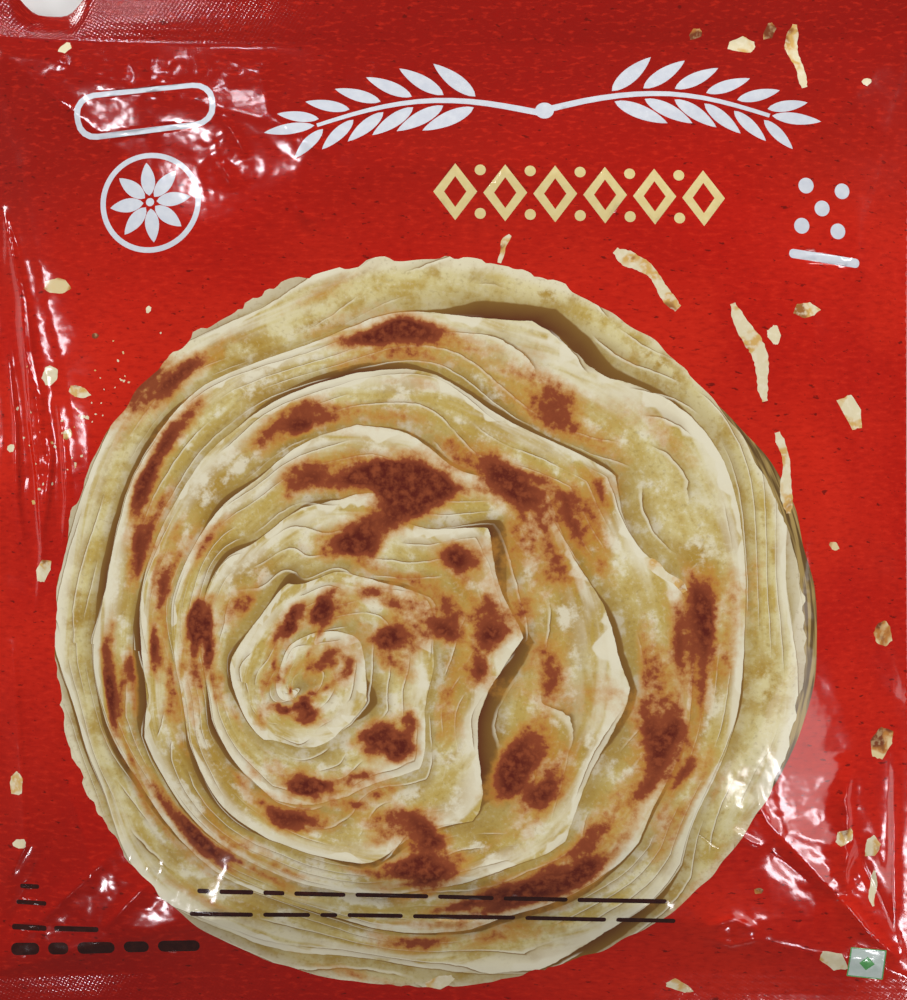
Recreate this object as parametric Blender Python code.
"""A pillow pack of frozen flatbreads, lying on its back: one shut bag of printed film drawn over a stack of round
flatbreads, with a crimped seal across each end and a fold down each side. It is one closed solid.

Metres, +Z up. X runs across the pack, +Y to the end that is the top of its front, and the front faces up. The
origin is on the surface that the pack lies on, under the middle of its outline."""

import math

import bmesh
import bpy
import numpy as np

# The bag: a flattened tube of film, sealed across both ends.
FILM_WIDTH = 0.224  # from side fold to side fold, at the ends
FILM_LENGTH = 0.250  # over both seals
SEAL_WIDTH = 0.012  # each crimped band, along Y
FILM_GAP = 0.0008  # from front to back where the two lie together
CORNERS = {(-1, -1): 0.0062, (1, -1): 0.0074, (-1, 1): 0.0066, (1, 1): 0.0056}  # heights, by the sides in X and Y
EDGE_LIFT = 0.0040  # how much higher the middle of each edge is than its corners
EDGE_PULL_IN = 0.0030  # how far the middle of each edge is drawn in, as the film climbs over the stack
SEAL_DROOP = {-1: 0.0040, 1: 0.0014}  # how far each seal's outer edge hangs below its inner line, by the end in Y

# The stack of flatbreads inside, which holds the film up.
STACK_RADIUS = 0.083
STACK_HEIGHT = 0.0222
STACK_Y = -0.003  # the stack has slid this far down the pack
STACK_CROWN = 0.0007  # how much lower the stack's rim is than its middle
BASE_RADIUS = 0.076  # of the flat round that the pack rests on
RIM_SOFTNESS = 0.08  # how gently the film turns over the rim, as a share of the way to the edge
SLACK = 0.0012  # how far the film hangs below a taut one, halfway to the edge
LIFT_OFF = 1.5  # how gently the back leaves the surface, as a power of the share of the way to the edge

# Creases that run in from the corners: side in X, side in Y, degrees from +X, length, height.
CORNER_CREASES = (
    (-1, -1, 44, 0.058, 0.0016),
    (-1, -1, 64, 0.046, -0.0011),
    (1, -1, 134, 0.060, 0.0018),
    (1, -1, 114, 0.050, -0.0012),
    (-1, 1, -40, 0.052, 0.0012),
    (1, 1, -136, 0.050, 0.0012),
)
CREASE_WIDTH = 0.0045  # of a crease's flank

CELLS_ACROSS = 42  # of the mesh of each film
CELLS_ALONG = 44  # between the seals
CELLS_SEAL = 2  # along each seal
RIM_DIRECTIONS = 180  # planes that lean from the rim to a corner; together they are the taut film

HALF_WIDTH = FILM_WIDTH / 2
HALF_LENGTH = FILM_LENGTH / 2
HALF_BODY = HALF_LENGTH - SEAL_WIDTH  # to a seal's inner line

FILM_RED = (0.48, 0.026, 0.014, 1.0)
FILM_ROUGHNESS = 0.25


def clear_scene():
    for thing in list(bpy.data.objects):
        bpy.data.objects.remove(thing)


def slope_share(x, y, radius):
    """How far down its slope a taut film is at a place: 0 over a round of this radius, 1 all along the edges. It is
    the highest of the planes that each touch the rim in one direction and reach 1 at the nearest corner."""
    share = np.zeros_like(x)
    for turn in np.arange(RIM_DIRECTIONS) * (2 * math.pi / RIM_DIRECTIONS):
        ahead_x, ahead_y = math.cos(turn), math.sin(turn)
        reaches = [
            ahead_x * side_x * HALF_WIDTH + ahead_y * (side_y * HALF_BODY - STACK_Y) - radius
            for side_x, side_y in CORNERS
        ]
        past_rim = ahead_x * x + ahead_y * (y - STACK_Y) - radius
        share = np.maximum(share, past_rim / max(reaches))
    return share


def edge_height(x, y):
    """Height of the edges, spread over the whole bag: straight from corner to corner, and lifted between them."""
    across, along = x / HALF_WIDTH, y / HALF_BODY
    height = EDGE_LIFT * ((1 - along**2) ** 2 + (1 - across**2) ** 2)
    for (side_x, side_y), corner in CORNERS.items():
        height = height + corner * (1 + side_x * across) * (1 + side_y * along) / 4
    return height


def crease_height(x, y):
    """The ridges and valleys that run in from the corners, each with a sharp line and soft flanks."""
    height = np.zeros_like(x)
    for side_x, side_y, degrees, length, depth in CORNER_CREASES:
        run_x, run_y = math.cos(math.radians(degrees)), math.sin(math.radians(degrees))
        from_x, from_y = x - side_x * HALF_WIDTH, y - side_y * HALF_BODY
        along = np.clip((from_x * run_x + from_y * run_y) / length, 0, 1)
        aside = np.abs(from_x * run_y - from_y * run_x)
        height = height + depth * np.sin(math.pi * along) ** 2 * np.exp(-aside / CREASE_WIDTH)
    return height


def front_height(x, y):
    """Height of the front film between the seals: over the stack, round its rim and down to the edges."""
    share = slope_share(x, y, STACK_RADIUS)
    eased = np.hypot(share, RIM_SOFTNESS) - RIM_SOFTNESS
    eased = eased / (math.hypot(1, RIM_SOFTNESS) - RIM_SOFTNESS)
    off_middle = np.clip(np.hypot(x, y - STACK_Y) / STACK_RADIUS, 0, 1)
    top = STACK_HEIGHT - STACK_CROWN * off_middle**2
    taut = top + (edge_height(x, y) + FILM_GAP / 2 - top) * eased
    return taut - SLACK * np.sin(math.pi * share) + crease_height(x, y)


def back_height(x, y):
    """Height of the back film between the seals: flat under the stack, then rising to the edges."""
    share = slope_share(x, y, BASE_RADIUS)
    return (edge_height(x, y) - FILM_GAP / 2) * share**LIFT_OFF


def film_points(height_at):
    """Rows of points of one film, from the bottom seal's outer edge to the top one's."""
    seal = np.linspace(HALF_BODY, HALF_LENGTH, CELLS_SEAL + 1)[1:]
    body = np.linspace(-HALF_BODY, HALF_BODY, CELLS_ALONG + 1)
    flat_x, flat_y = np.meshgrid(
        np.linspace(-HALF_WIDTH, HALF_WIDTH, CELLS_ACROSS + 1), np.concatenate((-seal[::-1], body, seal))
    )
    body_y = np.clip(flat_y, -HALF_BODY, HALF_BODY)
    across, along = flat_x / HALF_WIDTH, body_y / HALF_BODY
    into_seal = np.abs(flat_y - body_y) / SEAL_WIDTH
    droop = np.where(flat_y < 0, SEAL_DROOP[-1], SEAL_DROOP[1]) * into_seal
    x = flat_x - EDGE_PULL_IN * across**5 * (1 - along**2)
    y = flat_y - EDGE_PULL_IN * along**5 * (1 - across**2)
    return np.stack((x, y, height_at(flat_x, body_y) - droop), axis=-1)


def add_film(mesh, points):
    """A grid of faces through the rows of points. Returns the vertices of its edge, in order round it."""
    rows, columns = points.shape[:2]
    made = bmesh.ops.create_grid(mesh, x_segments=columns - 1, y_segments=rows - 1, size=1.0)
    ordered = sorted(made["verts"], key=lambda vertex: (round(vertex.co.y, 4), vertex.co.x))
    for vertex, place in zip(ordered, points.reshape(-1, 3)):
        vertex.co = place
    grid = [ordered[row * columns : (row + 1) * columns] for row in range(rows)]
    right = [row[-1] for row in grid]
    left = [row[0] for row in grid]
    return grid[0][:-1] + right[:-1] + grid[-1][:0:-1] + left[:0:-1]


def add_wall(mesh, front_edge, back_edge):
    """The narrow wall between the edges of the two films, all the way round."""
    for index, vertex in enumerate(front_edge):
        following = (index + 1) % len(front_edge)
        mesh.faces.new((vertex, front_edge[following], back_edge[following], back_edge[index]))


def film_material():
    material = bpy.data.materials.new("printed_film")
    material.use_nodes = True
    material.diffuse_color = FILM_RED
    shader = material.node_tree.nodes["Principled BSDF"]
    shader.inputs["Base Color"].default_value = FILM_RED
    shader.inputs["Roughness"].default_value = FILM_ROUGHNESS
    shader.inputs["Metallic"].default_value = 0.0
    return material


def build_pouch(collection):
    mesh = bmesh.new()
    front_edge = add_film(mesh, film_points(front_height))
    back_edge = add_film(mesh, film_points(back_height))
    add_wall(mesh, front_edge, back_edge)
    bmesh.ops.recalc_face_normals(mesh, faces=mesh.faces)
    data = bpy.data.meshes.new("pouch")
    mesh.to_mesh(data)
    mesh.free()
    data.shade_smooth()
    data.materials.append(film_material())
    collection.objects.link(bpy.data.objects.new("pouch", data))


def main():
    clear_scene()
    collection = bpy.data.collections.new("flatbread_pack")
    bpy.context.scene.collection.children.link(collection)
    build_pouch(collection)


main()
